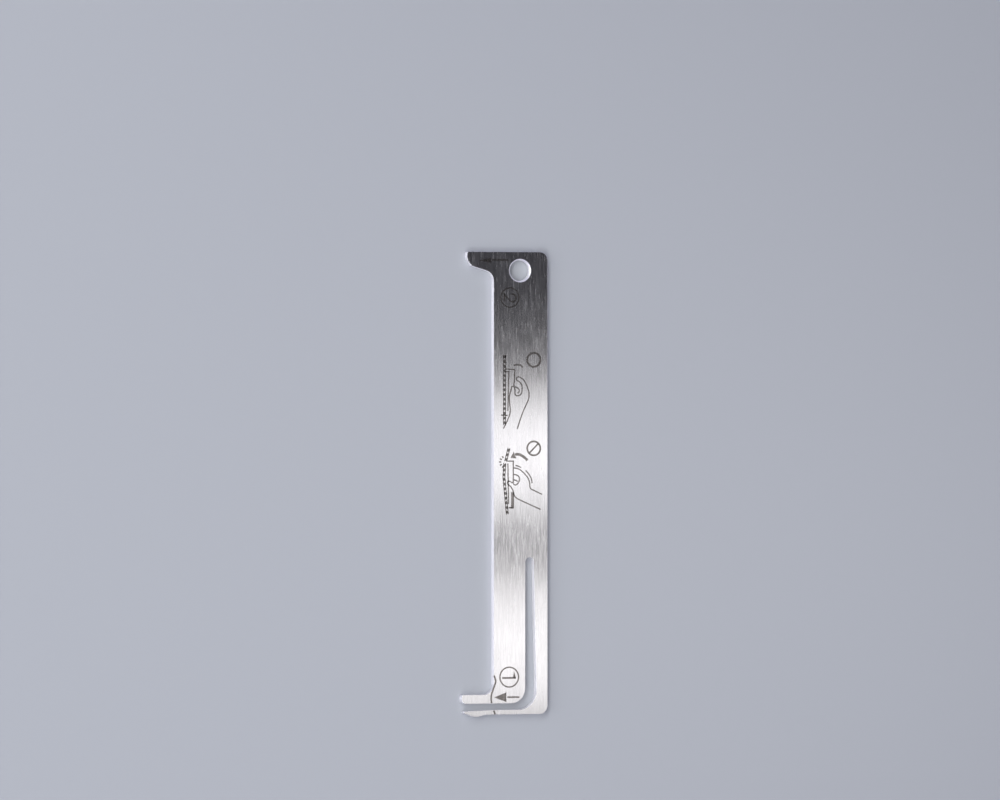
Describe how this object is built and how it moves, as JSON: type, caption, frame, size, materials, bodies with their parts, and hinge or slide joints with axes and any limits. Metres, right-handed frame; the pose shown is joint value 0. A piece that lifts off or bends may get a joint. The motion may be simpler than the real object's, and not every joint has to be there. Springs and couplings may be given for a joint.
{
  "type": "chain wear gauge",
  "caption": "Flat steel gauge that hooks into a bicycle chain to show how far it has worn, with a hooked head and a sprung tongue.",
  "frame": {"origin": "middle of the outline's box, on the back face that the gauge lies on", "axes": "+Y along the body from the tongues to the head, +Z out of the marked front face, -X the side that the head and the tongues point to"},
  "size_m": [0.0264, 0.1344, 0.002],
  "materials": {
    "brushed_sheet": "brushed lengthwise, with tumbled rims",
    "etched_mark": "dark etched line"
  },
  "bodies": {
    "root": {"gauge_plate": "brushed_sheet"}
  },
  "joints": []
}
